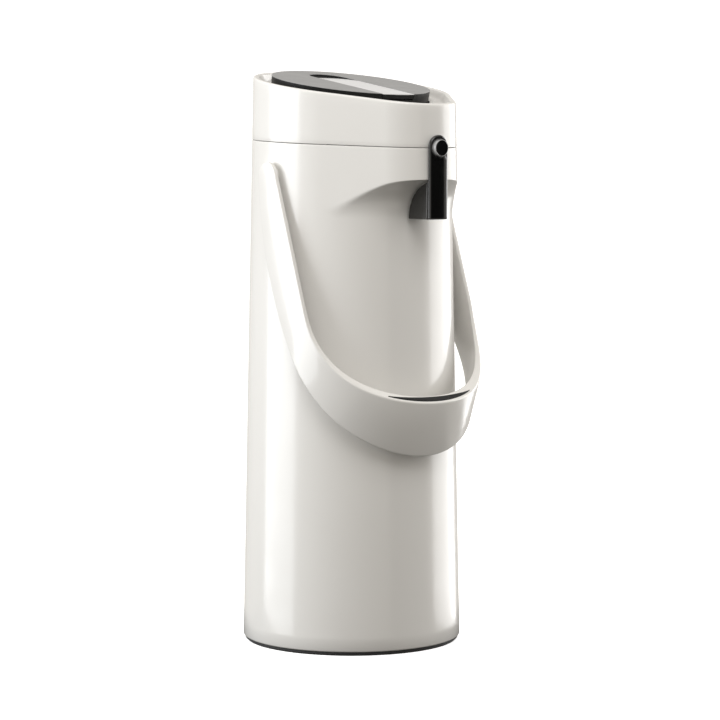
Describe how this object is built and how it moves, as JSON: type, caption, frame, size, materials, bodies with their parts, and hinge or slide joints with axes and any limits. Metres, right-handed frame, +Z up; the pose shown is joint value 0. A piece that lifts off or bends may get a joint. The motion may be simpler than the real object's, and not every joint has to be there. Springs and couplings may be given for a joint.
{
  "type": "thermal coffee airpot",
  "caption": "Tall insulated coffee dispenser with a beaked pouring head, a lever pump in its hinged lid, a front spout with a release button and a swinging bail handle.",
  "frame": {"origin": "centre of the foot, on the surface that the pot stands on", "axes": "+Z up along the body's axis, -Y towards the spout, X across the pot"},
  "size_m": [0.1454, 0.1666, 0.3804],
  "materials": {
    "white_plastic": "glossy warm off-white moulding",
    "black_plastic": "polished black moulding",
    "lid_grey": "grey top with a soft gloss",
    "lever_silver": "pale silver satin",
    "foot_rubber": "matt moulded rubber",
    "steel": "bright turned steel",
    "flask_steel": "spun stainless steel",
    "inner_plastic": "plain matt moulding"
  },
  "bodies": {
    "pot": {"foot_pad": "foot_rubber", "base_cover": "white_plastic", "base_screws": "steel", "liner_cradle": "inner_plastic", "flask_outer": "flask_steel", "flask_inner": "flask_steel", "neck_gasket": "foot_rubber", "outer_shell": "white_plastic", "shell_deck": "inner_plastic", "stopper": "inner_plastic", "siphon_tube": "inner_plastic", "delivery_pipe": "inner_plastic", "spout_nozzle": "black_plastic", "spout_cover": "black_plastic", "button_guide": "inner_plastic", "pivot_bushes": "inner_plastic", "handle_pins": "black_plastic", "hinge_bracket": "inner_plastic", "hinge_pin": "steel"},
    "head": {"head_hinge_leaf": "inner_plastic", "head_shell": "white_plastic", "head_deck": "inner_plastic", "head_screws": "steel", "head_latch": "inner_plastic", "air_seal": "foot_rubber", "air_valve": "foot_rubber", "bellows": "foot_rubber", "pump_spring": "steel", "lid_ring": "black_plastic", "lid_disc": "lid_grey", "lever_trough": "black_plastic", "lever_pin": "steel"},
    "pump": {"pump_lever": "lever_silver", "lever_pusher": "inner_plastic"},
    "handle": {"handle_bow": "white_plastic", "grip_pad": "black_plastic"},
    "button": {"release_button": "black_plastic"}
  },
  "joints": [
    {"name": "handle_swing", "type": "hinge", "parent": "pot", "child": "handle", "pos_m": [0, -0.001, 0.31], "axis": [-1, 0, 0], "range_deg": [0, 155]},
    {"name": "head_open", "type": "hinge", "parent": "pot", "child": "head", "pos_m": [0, 0.0696, 0.33536], "axis": [-1, 0, 0], "range_deg": [0, 50]},
    {"name": "pump_press", "type": "hinge", "parent": "head", "child": "pump", "pos_m": [0, -0.04243, 0.35923], "axis": [-1, 0, 0], "range_deg": [0, 5], "stiffness_Nm_per_rad": 6, "springref_deg": -2.86, "deforming": ["bellows", "pump_spring"]},
    {"name": "button_press", "type": "slide", "parent": "pot", "child": "button", "axis": [0, 1, 0], "range_m": [0, 0.0015], "stiffness_N_per_m": 600, "springref_m": -0.001}
  ]
}
